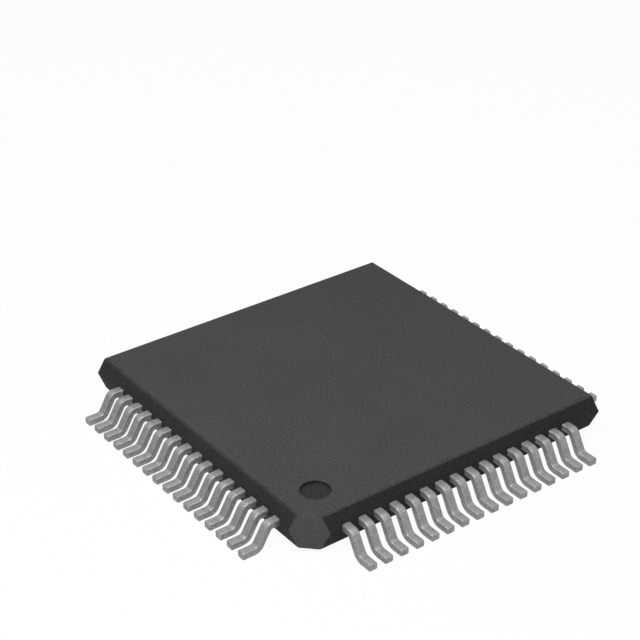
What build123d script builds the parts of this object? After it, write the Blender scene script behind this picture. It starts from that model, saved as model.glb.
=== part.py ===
from build123d import *
from math import radians, sqrt, tan
import os

# A thin quad flat pack: 64 gull-wing leads, an exposed pad under the body, a cut corner at lead 1.
# Millimetres and degrees. The board is the plane z = 0, and the body's centre stands over the origin.
# Leads are numbered counter-clockwise from the cut corner, as seen from above.

# Moulded body, measured where its two halves meet
body_size = 10.0
body_thickness = 1.05
standoff = 0.15
draft_angle = 18.0
corner_cut = 0.77
rim_radius = 0.1
dimple_diameter = 0.8
dimple_depth = 0.1
dimple_inset = 1.13
ejector_diameter = 0.74
ejector_depth = 0.08
ejector_inset = 1.06

# Lead frame, stamped from one sheet and formed
sides = 4
nodes_per_side = 4
leads_per_node = 4
sheet_thickness = 0.2
lead_pitch = 0.5
lead_width = 0.26
lead_reach = 1.1
shoulder_length = 0.28
leg_angle = 60.0
shoulder_inner_radius = 0.05
heel_inner_radius = 0.14
flats_per_bend = 4
inner_tip_width = 0.2
inner_tip_gap = 0.45

# Die paddle, whose underside is the exposed pad, and its four tie bars
pad_size = 6.6
stub_width = 0.5
stub_past_corner = 0.03
tie_bar_width = 0.3
tie_bar_angle = 45.0
tie_bar_cover = 0.3
tie_bar_clearance = 0.2

# Die, its adhesive and the bond wires
die_size = 4.2
die_thickness = 0.25
adhesive_thickness = 0.03
adhesive_margin = 0.05
bond_pad_inset = 0.12
bond_pad_corner_gap = 0.18
wire_diameter = 0.03
wire_section_sides = 3
loop_height = 0.2
stitch_from_tip = 0.18

# Heights
parting_z = standoff + body_thickness / 2
top_z = standoff + body_thickness
sheet_top_z = parting_z + sheet_thickness / 2
sheet_bottom_z = parting_z - sheet_thickness / 2
foot_z = sheet_thickness / 2
paddle_z = standoff + sheet_thickness / 2
paddle_top_z = standoff + sheet_thickness
adhesive_top_z = paddle_top_z + adhesive_thickness
die_top_z = adhesive_top_z + die_thickness
loop_z = max(sheet_top_z, die_top_z) + loop_height

# Reaches, measured outwards from the centre
body_reach = body_size / 2
shoulder_reach = body_reach + shoulder_length
heel_reach = shoulder_reach + (parting_z - foot_z) / tan(radians(leg_angle))
lead_tip_reach = body_reach + lead_reach
inner_tip_reach = pad_size / 2 + inner_tip_gap
stitch_reach = inner_tip_reach + stitch_from_tip
bond_pad_reach = die_size / 2 - bond_pad_inset
cut_face_reach = sqrt(2) * body_reach - corner_cut / sqrt(2)
stub_reach = pad_size / sqrt(2) + stub_past_corner
tie_bar_top_reach = stub_reach + (parting_z - paddle_z) / tan(radians(tie_bar_angle))
tie_bar_reach = cut_face_reach - tie_bar_cover

# Rows along a side, centred on it
leads_per_side = nodes_per_side * leads_per_node
last_tip = inner_tip_reach - sqrt(2) * (tie_bar_width / 2 + tie_bar_clearance) - inner_tip_width / 2
last_bond_pad = bond_pad_reach - bond_pad_corner_gap
inner_tip_pitch = 2 * last_tip / (leads_per_side - 1)
bond_pad_pitch = 2 * last_bond_pad / (leads_per_side - 1)

os.makedirs("parts", exist_ok=True)


def side_plane(side, height):
    """Level plane of one side: x runs along it in the order of the leads, and y points inwards."""
    return Plane.XY.offset(height).rotated((0, 0, 360 / sides * side))


def outward_plane(side, along):
    """Upright plane across one side: x points out of the body and y points up."""
    level = side_plane(side, 0)
    return Plane(level.from_local_coords(Vector(along, 0, 0)), x_dir=-level.y_dir, z_dir=-level.x_dir)


def section_plane(upright, start):
    """Plane across the start of a level run in an upright plane, for a strip's cross-section."""
    return Plane(start, x_dir=-upright.z_dir, z_dir=upright.x_dir)


def formed_line(points, inner_radii):
    """Corners of a formed strip's middle line, with each bend's arc drawn as a few short flats."""
    middle_radii = [radius + sheet_thickness / 2 for radius in inner_radii]
    bent = FilletPolyline(*points, radius=middle_radii)
    corners = []
    for stretch in bent.edges():
        flats = flats_per_bend if stretch.geom_type == GeomType.CIRCLE else 1
        corners += [tuple(stretch @ (flat / flats)) for flat in range(flats)]
    return corners + [tuple(bent @ 1)]


def along_side(index, pitch):
    """Place of a lead, an inner tip or a bond pad along its side, counted from the side's middle."""
    return (index - (leads_per_side - 1) / 2) * pitch


def node_name(kind, side, first):
    """Name of a node that holds neighbouring pieces, with the numbers of its first and last lead."""
    number = side * leads_per_side + first + 1
    return f"{kind}_{number:02d}_{number + leads_per_node - 1:02d}"


# Die paddle with its tie bars, one stamped and downset piece
with BuildPart() as die_paddle:
    with BuildSketch(Plane.XY.offset(standoff)):
        Rectangle(pad_size, pad_size)
        with PolarLocations(0, sides, start_angle=360 / sides / 2):
            Rectangle(stub_reach, stub_width, align=(Align.MIN, Align.CENTER))
    extrude(amount=sheet_thickness)
    for corner in range(sides):
        diagonal = outward_plane(corner + 0.5, 0)
        with BuildLine(diagonal) as tie_line:
            Polyline(
                (pad_size / 2, paddle_z),
                (stub_reach, paddle_z),
                (tie_bar_top_reach, parting_z),
                (tie_bar_reach, parting_z),
            )
        with BuildSketch(section_plane(diagonal, tie_line.line @ 0)):
            Rectangle(tie_bar_width, sheet_thickness)
        sweep(path=tie_line.line, transition=Transition.RIGHT)
die_paddle.part.label = "die_paddle"
export_step(die_paddle.part, "parts/die_paddle.step")

# Adhesive that holds the die on the paddle
with BuildPart() as die_adhesive:
    with BuildSketch(Plane.XY.offset(paddle_top_z)):
        Rectangle(die_size + 2 * adhesive_margin, die_size + 2 * adhesive_margin)
    extrude(amount=adhesive_thickness)
die_adhesive.part.label = "die_adhesive"
export_step(die_adhesive.part, "parts/die_adhesive.step")

# Silicon die
with BuildPart() as silicon_die:
    with BuildSketch(Plane.XY.offset(adhesive_top_z)):
        Rectangle(die_size, die_size)
    extrude(amount=die_thickness)
silicon_die.part.label = "silicon_die"
export_step(silicon_die.part, "parts/silicon_die.step")

# Leads and bond wires, a few neighbours to a node
lead_corners = formed_line(
    [
        (body_reach, parting_z),
        (shoulder_reach, parting_z),
        (heel_reach, foot_z),
        (lead_tip_reach, foot_z),
    ],
    [shoulder_inner_radius, heel_inner_radius],
)
enclosed = [die_paddle.part, die_adhesive.part, silicon_die.part]
for side in range(sides):
    for first in range(0, leads_per_side, leads_per_node):
        with BuildPart() as leads:
            for index in range(first, first + leads_per_node):
                root = along_side(index, lead_pitch)
                tip = along_side(index, inner_tip_pitch)
                upright = outward_plane(side, root)
                with BuildLine(upright) as lead_line:
                    Polyline(*lead_corners)
                with BuildSketch(section_plane(upright, lead_line.line @ 0)):
                    Rectangle(lead_width, sheet_thickness)
                sweep(path=lead_line.line, transition=Transition.RIGHT)
                with BuildSketch(side_plane(side, sheet_bottom_z)):
                    with BuildLine():
                        Polyline(
                            (root - lead_width / 2, -body_reach),
                            (root + lead_width / 2, -body_reach),
                            (tip + inner_tip_width / 2, -inner_tip_reach),
                            (tip - inner_tip_width / 2, -inner_tip_reach),
                            close=True,
                        )
                    make_face()
                extrude(amount=sheet_thickness)
        leads.part.label = node_name("leads", side, first)
        export_step(leads.part, f"parts/{leads.part.label}.step")

        with BuildPart() as bond_wires:
            for index in range(first, first + leads_per_node):
                root = along_side(index, lead_pitch)
                tip = along_side(index, inner_tip_pitch)
                fan = (root - tip) / (body_reach - inner_tip_reach)
                neck_x = along_side(index, bond_pad_pitch)
                neck_foot = Vector(neck_x, -bond_pad_reach, die_top_z)
                neck_top = Vector(neck_x, -bond_pad_reach, loop_z)
                stitch = Vector(tip + fan * stitch_from_tip, -stitch_reach, sheet_top_z)
                sunk_share = wire_diameter / (loop_z - sheet_top_z)
                sunk_end = stitch + (stitch - neck_top) * sunk_share
                with BuildLine(side_plane(side, 0)) as wire_line:
                    Polyline(tuple(neck_foot), tuple(neck_top), tuple(sunk_end))
                with BuildSketch(Plane(wire_line.line @ 0)):
                    RegularPolygon(wire_diameter / 2, wire_section_sides)
                sweep(path=wire_line.line, transition=Transition.RIGHT)
            add(leads.part, mode=Mode.SUBTRACT)
        bond_wires.part.label = node_name("bond_wires", side, first)
        export_step(bond_wires.part, f"parts/{bond_wires.part.label}.step")
        enclosed += [leads.part, bond_wires.part]

# Moulded body: two drafted halves that meet at the lead frame, with room for all that it encloses
with BuildPart() as mold_body:
    with BuildSketch(Plane.XY.offset(parting_z)):
        Rectangle(body_size, body_size)
    extrude(amount=body_thickness / 2, taper=draft_angle)
    fillet(mold_body.faces().sort_by(Axis.Z)[-1].edges(), rim_radius)
    mirror(about=Plane.XY.offset(parting_z))
    split(bisect_by=Plane((0, 0, 0), z_dir=(1, 1, 0)).offset(-cut_face_reach), keep=Keep.TOP)
    with BuildSketch(Plane.XY.offset(top_z)):
        with Locations((dimple_inset - body_reach, dimple_inset - body_reach)):
            Circle(dimple_diameter / 2)
    extrude(amount=-dimple_depth, mode=Mode.SUBTRACT)
    with BuildSketch(Plane.XY.offset(standoff)):
        with GridLocations(2 * (body_reach - ejector_inset), 2 * (body_reach - ejector_inset), 2, 2):
            Circle(ejector_diameter / 2)
    extrude(amount=ejector_depth, mode=Mode.SUBTRACT)
    add(enclosed, mode=Mode.SUBTRACT)
mold_body.part.label = "mold_body"
export_step(mold_body.part, "parts/mold_body.step")
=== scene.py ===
import math

import bmesh
import bpy
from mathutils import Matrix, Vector


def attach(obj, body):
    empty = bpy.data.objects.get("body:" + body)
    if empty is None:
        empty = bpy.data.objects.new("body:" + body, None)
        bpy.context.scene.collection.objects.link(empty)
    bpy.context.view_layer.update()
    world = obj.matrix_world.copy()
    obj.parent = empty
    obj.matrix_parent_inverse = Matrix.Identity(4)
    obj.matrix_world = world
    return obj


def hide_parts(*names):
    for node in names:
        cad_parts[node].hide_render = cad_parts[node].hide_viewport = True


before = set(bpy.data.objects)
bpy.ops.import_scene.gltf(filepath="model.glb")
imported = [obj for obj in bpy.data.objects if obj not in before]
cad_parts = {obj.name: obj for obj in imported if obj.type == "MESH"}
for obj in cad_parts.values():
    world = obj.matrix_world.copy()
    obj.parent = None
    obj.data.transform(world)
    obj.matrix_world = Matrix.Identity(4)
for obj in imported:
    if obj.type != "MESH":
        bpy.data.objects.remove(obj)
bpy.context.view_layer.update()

# Sizes in millimetres, as in the model of the solids
MM = 0.001
BODY_REACH = 5.0
HALF_THICKNESS = 0.525
STANDOFF = 0.15
DRAFT = math.radians(18)
CORNER_CUT = 0.77
RIM_RADIUS = 0.1
FACET_EDGE_RADIUS = 0.02
RIDGE_RADIUS = 0.04
CORNER_RADIUS = 0.03
CORNER_STEPS = 4
DIMPLE_INSET = 1.13
DIMPLE_RADIUS = 0.4
DIMPLE_DEPTH = 0.1
DIMPLE_RIM_RADIUS = 0.012
DIMPLE_FLOOR_RADIUS = 0.03
MARK_INSET = 1.06
MARK_RADIUS = 0.37
MARK_DEPTH = 0.08
MARK_RIM_RADIUS = 0.01
MARK_FLOOR_RADIUS = 0.015
PAD_REACH = 3.3
PAD_EDGE_RADIUS = 0.012
PAD_GAP = 0.006
PAD_RECESS = 0.05
STUB_HALF_WIDTH = 0.25
STUB_PAST_CORNER = 0.03
WELD_DISTANCE = 0.0005

SIDES = 4
LEADS_PER_SIDE = 16
LEADS_PER_NODE = 4
SHEET = 0.2
LEAD_PITCH = 0.5
LEAD_WIDTH = 0.26
LEAD_REACH = 1.1
SHOULDER_LENGTH = 0.28
LEG_ANGLE = math.radians(60)
SHOULDER_INNER_RADIUS = 0.05
HEEL_INNER_RADIUS = 0.14
INNER_TIP_GAP = 0.45
INNER_TIP_WIDTH = 0.2
TIE_BAR_ROOM = 0.35
LEAD_EDGE_RADIUS = 0.044
LEAD_END_RADIUS = 0.04

PARTING_Z = STANDOFF + HALF_THICKNESS
TOP_Z = STANDOFF + 2 * HALF_THICKNESS
FOOT_Z = SHEET / 2
DIMPLE_PLACE = (DIMPLE_INSET - BODY_REACH, DIMPLE_INSET - BODY_REACH)
MARK_REACH = BODY_REACH - MARK_INSET
STUB_REACH = 2 * PAD_REACH / math.sqrt(2) + STUB_PAST_CORNER
LEAD_TIP_REACH = BODY_REACH + LEAD_REACH
SHOULDER_REACH = BODY_REACH + SHOULDER_LENGTH
HEEL_REACH = SHOULDER_REACH + (PARTING_Z - FOOT_Z) / math.tan(LEG_ANGLE)
INNER_TIP_REACH = PAD_REACH + INNER_TIP_GAP
LAST_INNER_TIP = INNER_TIP_REACH - math.sqrt(2) * TIE_BAR_ROOM - INNER_TIP_WIDTH / 2
INNER_TIP_PITCH = 2 * LAST_INNER_TIP / (LEADS_PER_SIDE - 1)

# Steps of the rounded shapes
RIM_STEPS = 6
LATHE_STEPS = 96
RECESS_EDGE_STEPS = 5
BEND_STEPS = 12
LEAD_EDGE_STEPS = 4
LEAD_END_STEPS = 4


def rounded_path(points, radii, steps):
    """Points of a flat path whose inner corners are arcs of the given radii."""
    path = [Vector(points[0])]
    for before, corner, after, radius in zip(points, points[1:], points[2:], radii):
        corner = Vector(corner)
        back = (Vector(before) - corner).normalized()
        ahead = (Vector(after) - corner).normalized()
        half = back.angle(ahead) / 2
        centre = corner + (back + ahead).normalized() * (radius / math.sin(half))
        start = corner + back * (radius / math.tan(half)) - centre
        end = corner + ahead * (radius / math.tan(half)) - centre
        turn = start.angle(end)
        for step in range(steps + 1):
            along = turn * step / steps
            spoke = (start * math.sin(turn - along) + end * math.sin(along)) / math.sin(turn)
            path.append(centre + spoke)
    path.append(Vector(points[-1]))
    return path


def turned(x, y, side):
    """A point of the first side, turned round to the given side."""
    turn = math.tau / SIDES * side
    return x * math.cos(turn) - y * math.sin(turn), x * math.sin(turn) + y * math.cos(turn)


def ring_of(bm, points):
    """Vertices of one ring, from points in millimetres."""
    return [bm.verts.new(Vector(point) * MM) for point in points]


def skin(bm, one, other, material=0):
    """Band of faces between two rings of as many vertices."""
    faces = []
    for index in range(len(one)):
        after = (index + 1) % len(one)
        face = bm.faces.new((one[index], one[after], other[after], other[index]))
        face.material_index = material
        faces.append(face)
    return faces


def piece(name, bm, nodes, materials):
    """Object of a finished mesh, which rides on the part and stands for the given nodes."""
    bmesh.ops.recalc_face_normals(bm, faces=bm.faces)
    for face in bm.faces:
        face.smooth = True
    mesh = bpy.data.meshes.new(name)
    bm.to_mesh(mesh)
    bm.free()
    made = bpy.data.objects.new(name, mesh)
    bpy.context.scene.collection.objects.link(made)
    for material in materials:
        mesh.materials.append(material)
    weighted = made.modifiers.new("face_weighted_normals", "WEIGHTED_NORMAL")
    weighted.weight = 100
    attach(made, "root")
    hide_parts(*nodes)
    return made


# Materials
def shader(name, colour, roughness, metallic=0.0, specular=0.5):
    """A new material and its nodes, with the values that are the same all over."""
    material = bpy.data.materials.new(name)
    material.use_nodes = True
    nodes = material.node_tree.nodes
    main = nodes["Principled BSDF"]
    main.inputs["Base Color"].default_value = (*colour, 1)
    main.inputs["Roughness"].default_value = roughness
    main.inputs["Metallic"].default_value = metallic
    main.inputs["Specular IOR Level"].default_value = specular
    return material, nodes, material.node_tree.links, main


def noise(nodes, links, place, size, detail, roughness=0.5):
    """Noise whose features are about the given size in millimetres."""
    texture = nodes.new("ShaderNodeTexNoise")
    texture.inputs["Scale"].default_value = 1 / (size * MM)
    texture.inputs["Detail"].default_value = detail
    texture.inputs["Roughness"].default_value = roughness
    links.new(place.outputs["Object"], texture.inputs["Vector"])
    return texture.outputs["Fac"]


def spread(nodes, links, value, low, high, start=0.35, end=0.65):
    """A value mapped from start and end, by default the middle of a noise's range, to low and high."""
    mapped = nodes.new("ShaderNodeMapRange")
    mapped.inputs["From Min"].default_value = start
    mapped.inputs["From Max"].default_value = end
    mapped.inputs["To Min"].default_value = low
    mapped.inputs["To Max"].default_value = high
    links.new(value, mapped.inputs["Value"])
    return mapped.outputs["Result"]


def shades(nodes, links, value, dark, light):
    """Colour between a dark and a light shade."""
    mix = nodes.new("ShaderNodeMix")
    mix.data_type = "RGBA"
    mix.inputs["A"].default_value = (*dark, 1)
    mix.inputs["B"].default_value = (*light, 1)
    links.new(value, mix.inputs["Factor"])
    return mix.outputs["Result"]


def relief(nodes, links, main, height, distance):
    """Bump of a real height in millimetres."""
    bump = nodes.new("ShaderNodeBump")
    bump.inputs["Strength"].default_value = 1.0
    bump.inputs["Distance"].default_value = distance * MM
    links.new(height, bump.inputs["Height"])
    links.new(bump.outputs["Normal"], main.inputs["Normal"])


def total(nodes, links, first, second, share):
    """Sum of one value and a share of another."""
    add = nodes.new("ShaderNodeMath")
    add.operation = "MULTIPLY_ADD"
    links.new(second, add.inputs[0])
    add.inputs[1].default_value = share
    links.new(first, add.inputs[2])
    return add.outputs["Value"]


def moulded(name, dark, light, roughness, grain_height):
    """Filled epoxy moulding compound: a fine grain of filler in a dark resin."""
    material, nodes, links, main = shader(name, grey(light), roughness, specular=0.05)
    place = nodes.new("ShaderNodeTexCoord")
    grain = noise(nodes, links, place, 0.05, 2, 0.7)
    clouds = noise(nodes, links, place, 1.8, 2)
    both = total(nodes, links, grain, clouds, 0.1)
    value = spread(nodes, links, both, 0.0, 1.0, 0.4, 0.7)
    links.new(shades(nodes, links, value, grey(dark), grey(light)), main.inputs["Base Color"])
    links.new(spread(nodes, links, grain, roughness + 0.06, roughness - 0.06), main.inputs["Roughness"])
    relief(nodes, links, main, grain, grain_height)
    return material


def plated(name, dark, light, roughness, grain_height, metallic=1.0):
    """Plating, metal or silicon: a fine, slightly mottled grain."""
    material, nodes, links, main = shader(name, light, roughness, metallic=metallic)
    place = nodes.new("ShaderNodeTexCoord")
    grain = noise(nodes, links, place, 0.04, 2, 0.7)
    mottle = noise(nodes, links, place, 0.12, 3)
    both = total(nodes, links, grain, mottle, 0.4)
    value = spread(nodes, links, both, 0.0, 1.0, 0.55, 0.85)
    links.new(shades(nodes, links, value, dark, light), main.inputs["Base Color"])
    gloss = spread(nodes, links, both, roughness + 0.08, roughness - 0.08, 0.55, 0.85)
    links.new(gloss, main.inputs["Roughness"])
    relief(nodes, links, main, grain, grain_height)
    return material


def grey(value):
    """A neutral colour."""
    return (value, value, value)


compound = moulded("compound_grained", 0.046, 0.092, 0.7, 0.0025)
# Cut face: a lighter copy of the compound, painted light that makes it read as bright as the top
compound_facet_painted_light = moulded("compound_cut_face_painted_light", 0.073, 0.108, 0.7, 0.0015)
# Rounded rim: a darker copy of the compound, painted shade on the rounding
compound_rim_painted_shade = moulded("compound_rounded_rim_painted_shade", 0.033, 0.063, 0.7, 0.002)
# Drafted sides: a darker copy of the compound, painted shade on the sides
compound_side_painted_shade = moulded("compound_drafted_side_painted_shade", 0.0245, 0.0455, 0.7, 0.0015)
# Dimple: a darker copy of the compound, painted shade in the recess
compound_dimple_painted_shade = moulded("compound_in_dimple_painted_shade", 0.020, 0.050, 0.6, 0.002)
# Pin marks: a pale copy of the compound, painted sheen standing in for the gloss of their smoother floors
compound_pin_painted_sheen = moulded("compound_pin_mark_painted_sheen", 0.30, 0.38, 0.5, 0.001)
tin_lead = plated("matte_tin_on_leads", grey(0.235), grey(0.368), 0.6, 0.003, metallic=0.8)
tin_pad = plated("matte_tin_on_pad", grey(0.50), grey(0.60), 0.55, 0.001)
silver_epoxy = plated("silver_filled_epoxy", grey(0.40), grey(0.55), 0.6, 0.002)
silicon = plated("polished_silicon", (0.14, 0.15, 0.18), (0.17, 0.18, 0.22), 0.16, 0.0)
gold = plated("gold_wire", (0.75, 0.52, 0.20), (0.85, 0.62, 0.27), 0.25, 0.0004)


# Moulded body
def body_outline(inset, cut_inset):
    """Corners of the body's outline, drawn in from its widest line and from its cut face."""
    reach = BODY_REACH - inset
    cut = 2 * BODY_REACH - CORNER_CUT - math.sqrt(2) * cut_inset
    return [(reach - cut, -reach), (reach, -reach), (reach, reach), (-reach, reach), (-reach, reach - cut)]


def body_ring(inset, cut_inset, z):
    """One level ring of the body, with its upright edges slightly rounded."""
    corners = body_outline(inset, cut_inset)
    ring = []
    for index, corner in enumerate(corners):
        before, after = corners[index - 1], corners[(index + 1) % len(corners)]
        ring += rounded_path([before, corner, after], [CORNER_RADIUS], CORNER_STEPS)[1:-1]
    return [(point.x, point.y, z) for point in ring]


def lathe(bm, profile, place, materials):
    """Rings of a round recess; returns the outermost ring."""
    rings = []
    for radius, z in profile:
        turns = [math.tau * step / LATHE_STEPS for step in range(LATHE_STEPS)]
        rings.append(ring_of(bm, [
            (place[0] + radius * math.cos(turn), place[1] + radius * math.sin(turn), z) for turn in turns
        ]))
    for index, (one, other) in enumerate(zip(rings, rings[1:])):
        skin(bm, one, other, materials[0] if index < len(rings) - 2 else materials[1])
    bm.faces.new(rings[-1]).material_index = materials[1]
    return rings[0]


def recess_profile(radius, z, depth, rim, bottom):
    """Half section of a round recess, from its rim to its floor; depth is signed."""
    corners = [(radius + 2 * rim, z), (radius, z), (radius, z + depth), (radius / 4, z + depth)]
    return [(point.x, point.y) for point in rounded_path(corners, [rim, bottom], RECESS_EDGE_STEPS)[1:]]


def loop_edges(bm, ring):
    """Edges that join a ring's vertices."""
    edges = []
    for index, vert in enumerate(ring):
        other = ring[(index + 1) % len(ring)]
        edges.append(bm.edges.get((vert, other)) or bm.edges.new((vert, other)))
    return edges


def pad_outline(gap):
    """Outline of the exposed pad and its corner stubs, drawn out by a gap."""
    reach = PAD_REACH + gap
    half = STUB_HALF_WIDTH + gap
    end = STUB_REACH + gap
    quarter = [
        (reach, reach - half * math.sqrt(2)),
        ((end + half) / math.sqrt(2), (end - half) / math.sqrt(2)),
        ((end - half) / math.sqrt(2), (end + half) / math.sqrt(2)),
        (reach - half * math.sqrt(2), reach),
    ]
    points = []
    for side in range(SIDES):
        points += [turned(x, y, side) for x, y in quarter]
    return points


# Material slots of the body: FACE holds the compound's own shade; FACET is painted lighter, RIM, SIDE and
# DIMPLE painted darker, and PIN painted pale, as painted light, shade and sheen
FACE, FACET, RIM, SIDE, DIMPLE, PIN = 0, 1, 2, 3, 4, 5
bm = bmesh.new()
draft_inset = HALF_THICKNESS * math.tan(DRAFT)
profile = rounded_path(
    [
        (draft_inset + 3 * RIM_RADIUS, STANDOFF),
        (draft_inset, STANDOFF),
        (0, PARTING_Z),
        (draft_inset, TOP_Z),
        (draft_inset + 3 * RIM_RADIUS, TOP_Z),
    ],
    [RIM_RADIUS, RIDGE_RADIUS, RIM_RADIUS],
    RIM_STEPS,
)[1:-1]
body_rings = []
for inset, z in profile:
    from_flat = min(z - STANDOFF, TOP_Z - z)
    rise = max(FACET_EDGE_RADIUS - from_flat, 0)
    cut_inset = FACET_EDGE_RADIUS - math.sqrt(max(FACET_EDGE_RADIUS ** 2 - rise ** 2, 0))
    body_rings.append(ring_of(bm, body_ring(inset, cut_inset, z)))

# Painted light and shade from the flat faces over the rim to the drafted sides: the rim and sides are
# painted darker as shade; the cut face differs, painted lighter as light, and so does the first side, whose
# rim keeps the face's lighter shade longer
BAND_PAINTED_SHADES = (FACE, FACE, RIM, RIM, RIM, RIM, SIDE)
CUT_FACE_PAINTED_LIGHT = (FACE, FACE, FACET, FACET, FACET, FACET, FACET)
# The first side's rim keeps the face's lighter shade for three more steps: painted light
FIRST_SIDE_PAINTED_LIGHT = (FACE, FACE, FACE, FACE, FACE, RIM, SIDE)
FIRST_SIDE = CORNER_STEPS
CUT_FACE = len(body_rings[0]) - 1
for band, (low, high) in enumerate(zip(body_rings, body_rings[1:])):
    from_flat = min(band, len(body_rings) - 2 - band, len(BAND_PAINTED_SHADES) - 1)
    faces = skin(bm, low, high, BAND_PAINTED_SHADES[from_flat])
    faces[FIRST_SIDE].material_index = FIRST_SIDE_PAINTED_LIGHT[from_flat]
    faces[CUT_FACE].material_index = CUT_FACE_PAINTED_LIGHT[from_flat]

dimple = recess_profile(DIMPLE_RADIUS, TOP_Z, -DIMPLE_DEPTH, DIMPLE_RIM_RADIUS, DIMPLE_FLOOR_RADIUS)
top_edges = loop_edges(bm, body_rings[-1])
# The dimple's wall takes the sides' painted shade, its floor the dimple's darker painted shade
top_edges += loop_edges(bm, lathe(bm, dimple, DIMPLE_PLACE, (SIDE, DIMPLE)))
bmesh.ops.triangle_fill(bm, use_beauty=True, use_dissolve=False, edges=top_edges)

# The pin marks' floors take the pale shade of painted sheen
mark = recess_profile(MARK_RADIUS, STANDOFF, MARK_DEPTH, MARK_RIM_RADIUS, MARK_FLOOR_RADIUS)
under_edges = loop_edges(bm, body_rings[0])
for x in (-MARK_REACH, MARK_REACH):
    for y in (-MARK_REACH, MARK_REACH):
        under_edges += loop_edges(bm, lathe(bm, mark, (x, y), (FACE, PIN)))
mouth = ring_of(bm, [(x, y, STANDOFF) for x, y in pad_outline(PAD_GAP)])
roof = ring_of(bm, [(x, y, STANDOFF + PAD_RECESS) for x, y in pad_outline(PAD_GAP)])
skin(bm, mouth, roof, FACE)
bm.faces.new(roof).material_index = FACE
under_edges += loop_edges(bm, mouth)
bmesh.ops.triangle_fill(bm, use_beauty=True, use_dissolve=False, edges=under_edges)
piece("moulded_body", bm, ["mold_body"], [
    compound, compound_facet_painted_light, compound_rim_painted_shade, compound_side_painted_shade, compound_dimple_painted_shade, compound_pin_painted_sheen
])


# Leads
def lead_section(width, thickness, radius):
    """Rounded outline of a lead's cross-section."""
    x, y = width / 2, thickness / 2
    corners = [(x, -y), (x, y), (-x, y), (-x, -y)]
    outline = []
    for index, corner in enumerate(corners):
        before, after = corners[index - 1], corners[(index + 1) % len(corners)]
        outline += rounded_path([before, corner, after], [radius], LEAD_EDGE_STEPS)[1:-1]
    return outline


def along_side(index, pitch):
    """Place of a lead along its side, counted from the side's middle."""
    return (index - (LEADS_PER_SIDE - 1) / 2) * pitch


lead_line = rounded_path(
    [
        (INNER_TIP_REACH, PARTING_Z),
        (SHOULDER_REACH, PARTING_Z),
        (HEEL_REACH, FOOT_Z),
        (LEAD_TIP_REACH, FOOT_Z),
    ],
    [SHOULDER_INNER_RADIUS + SHEET / 2, HEEL_INNER_RADIUS + SHEET / 2],
    BEND_STEPS,
)
lead_line.insert(1, Vector((BODY_REACH, PARTING_Z)))


def add_lead(bm, side, index):
    """One formed lead, from its inner tip to the end of its foot."""
    root = along_side(index, LEAD_PITCH)
    tip = along_side(index, INNER_TIP_PITCH)
    stations = []
    for place, point in enumerate(lead_line):
        before = lead_line[max(place - 1, 0)]
        after = lead_line[min(place + 1, len(lead_line) - 1)]
        ahead = (after - before).normalized()
        inside = max((BODY_REACH - point.x) / (BODY_REACH - INNER_TIP_REACH), 0)
        stations.append((point, ahead, root + (tip - root) * inside, inside, 0.0))
    foot_end, ahead, across, inside, _ = stations.pop()
    for step in range(LEAD_END_STEPS + 1):
        turn = math.pi / 2 * step / LEAD_END_STEPS
        point = foot_end + ahead * LEAD_END_RADIUS * (math.sin(turn) - 1)
        stations.append((point, ahead, across, inside, LEAD_END_RADIUS * (1 - math.cos(turn))))
    rings = []
    for point, ahead, across, inside, inset in stations:
        width = LEAD_WIDTH + (INNER_TIP_WIDTH - LEAD_WIDTH) * inside - 2 * inset
        outline = lead_section(width, SHEET - 2 * inset, LEAD_EDGE_RADIUS - inset)
        ring = []
        for corner in outline:
            out = point.x - ahead.y * corner.y
            z = point.y + ahead.x * corner.y
            ring.append((*turned(across + corner.x, -out, side), z))
        rings.append(ring_of(bm, ring))
    for one, other in zip(rings, rings[1:]):
        skin(bm, one, other)
    bm.faces.new(rings[0])
    bm.faces.new(rings[-1])


for side in range(SIDES):
    for first in range(0, LEADS_PER_SIDE, LEADS_PER_NODE):
        number = side * LEADS_PER_SIDE + first + 1
        span = f"{number:02d}_{number + LEADS_PER_NODE - 1:02d}"
        bm = bmesh.new()
        for index in range(first, first + LEADS_PER_NODE):
            add_lead(bm, side, index)
        piece(f"formed_leads_{span}", bm, [f"leads_{span}"], [tin_lead])


# Pieces that keep their solids: the pad's edges are eased, and each piece gets its own finish
finishes = {"die_paddle": tin_pad, "die_adhesive": silver_epoxy, "silicon_die": silicon}
for name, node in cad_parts.items():
    finish = gold if name.startswith("bond_wires") else finishes.get(name)
    if finish:
        node.data.materials.clear()
        node.data.materials.append(finish)
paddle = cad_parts["die_paddle"]
weld = paddle.modifiers.new("joined_corners", "WELD")
weld.merge_threshold = WELD_DISTANCE * MM
eased = paddle.modifiers.new("eased_edges", "BEVEL")
eased.width = PAD_EDGE_RADIUS * MM
eased.segments = 3
eased.limit_method = "ANGLE"
eased.angle_limit = math.radians(40)
eased.harden_normals = True


# Floor, sky, lamp and camera
def math_node(nodes, operation, constant=None):
    """A new math node, whose second value may be a constant."""
    node = nodes.new("ShaderNodeMath")
    node.operation = operation
    if constant is not None:
        node.inputs[1].default_value = constant
    return node


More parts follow.
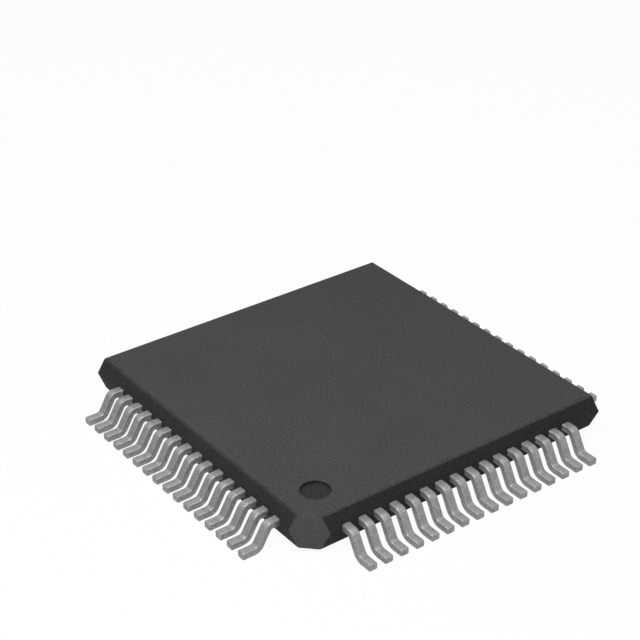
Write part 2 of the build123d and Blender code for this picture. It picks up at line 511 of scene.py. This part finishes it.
FLOOR_REACH = 600.0
FLOOR_Z = -0.002
SEEN_WHITE = 0.95
bm = bmesh.new()
corners = [(*turned(FLOOR_REACH, FLOOR_REACH, side), FLOOR_Z) for side in range(SIDES)]
bm.faces.new(ring_of(bm, corners))
mesh = bpy.data.meshes.new("floor")
bm.to_mesh(mesh)
bm.free()
floor = bpy.data.objects.new("floor", mesh)
bpy.context.scene.collection.objects.link(floor)
material, nodes, links, main = shader("pale_floor", grey(0.9), 0.9, specular=0.0)
path = nodes.new("ShaderNodeLightPath")
bounced = shades(nodes, links, path.outputs["Is Diffuse Ray"], grey(0.9), grey(0.8))
links.new(bounced, main.inputs["Base Color"])
share = math_node(nodes, "MULTIPLY_ADD", SEEN_WHITE)
links.new(path.outputs["Is Camera Ray"], share.inputs[0])
links.new(path.outputs["Is Glossy Ray"], share.inputs[2])
white = nodes.new("ShaderNodeEmission")
mix = nodes.new("ShaderNodeMixShader")
links.new(share.outputs[0], mix.inputs[0])
links.new(main.outputs[0], mix.inputs[1])
links.new(white.outputs[0], mix.inputs[2])
links.new(mix.outputs[0], nodes["Material Output"].inputs[0])
mesh.materials.append(material)

# What the metal mirrors is brightest overhead, and brighter towards the second row of leads than the fourth
SKY_AXIS = (0.4, 0.0, 1.0)
LOW_SKY, HIGH_SKY = 0.4, 1.1
SKY_LIGHT = 0.15
world = bpy.data.worlds.new("studio")
bpy.context.scene.world = world
world.use_nodes = True
nodes, links = world.node_tree.nodes, world.node_tree.links
back = nodes["Background"]
path = nodes.new("ShaderNodeLightPath")
way = nodes.new("ShaderNodeTexCoord")
height = nodes.new("ShaderNodeVectorMath")
height.operation = "DOT_PRODUCT"
height.inputs[1].default_value = SKY_AXIS
links.new(way.outputs["Generated"], height.inputs[0])
level = nodes.new("ShaderNodeMapRange")
level.inputs["To Min"].default_value = SKY_LIGHT
mirrored = spread(nodes, links, height.outputs["Value"], LOW_SKY, HIGH_SKY, -0.1, 0.6)
links.new(mirrored, level.inputs["To Max"])
links.new(path.outputs["Is Glossy Ray"], level.inputs["Value"])
seen = math_node(nodes, "MAXIMUM")
links.new(path.outputs["Is Camera Ray"], seen.inputs[0])
links.new(level.outputs["Result"], seen.inputs[1])
links.new(seen.outputs[0], back.inputs["Strength"])
back.inputs["Color"].default_value = (1, 1, 1, 1)


def soft_light(name, place, size, power):
    """Square lamp that faces the part."""
    lamp = bpy.data.lights.new(name, "AREA")
    lamp.size = size
    lamp.energy = power
    made = bpy.data.objects.new(name, lamp)
    made.location = place
    made.rotation_euler = place.to_track_quat("Z", "Y").to_euler()
    bpy.context.scene.collection.objects.link(made)


LAMP_PLACE = Vector((-20.0, -10.0, 48.0)) * MM
LAMP_SIZE = 35.0 * MM
LAMP_POWER = 0.0255
soft_light("overhead", LAMP_PLACE, LAMP_SIZE, LAMP_POWER)

# The camera that was fitted to the picture's edges
CAMERA_PLACE = (-24.690, -31.874, 26.256)
CAMERA_BACK = (-0.51903, -0.69333, 0.49990)
FOCAL_LENGTH = 95.985
camera_data = bpy.data.cameras.new("camera")
camera_data.sensor_width = 36.0
camera_data.lens = FOCAL_LENGTH
camera_data.clip_start = 0.001
camera = bpy.data.objects.new("camera", camera_data)
camera.location = Vector(CAMERA_PLACE) * MM
camera.rotation_euler = Vector(CAMERA_BACK).to_track_quat("Z", "Y").to_euler()
bpy.context.scene.collection.objects.link(camera)
bpy.context.scene.camera = camera
bpy.context.scene.view_settings.view_transform = "Standard"
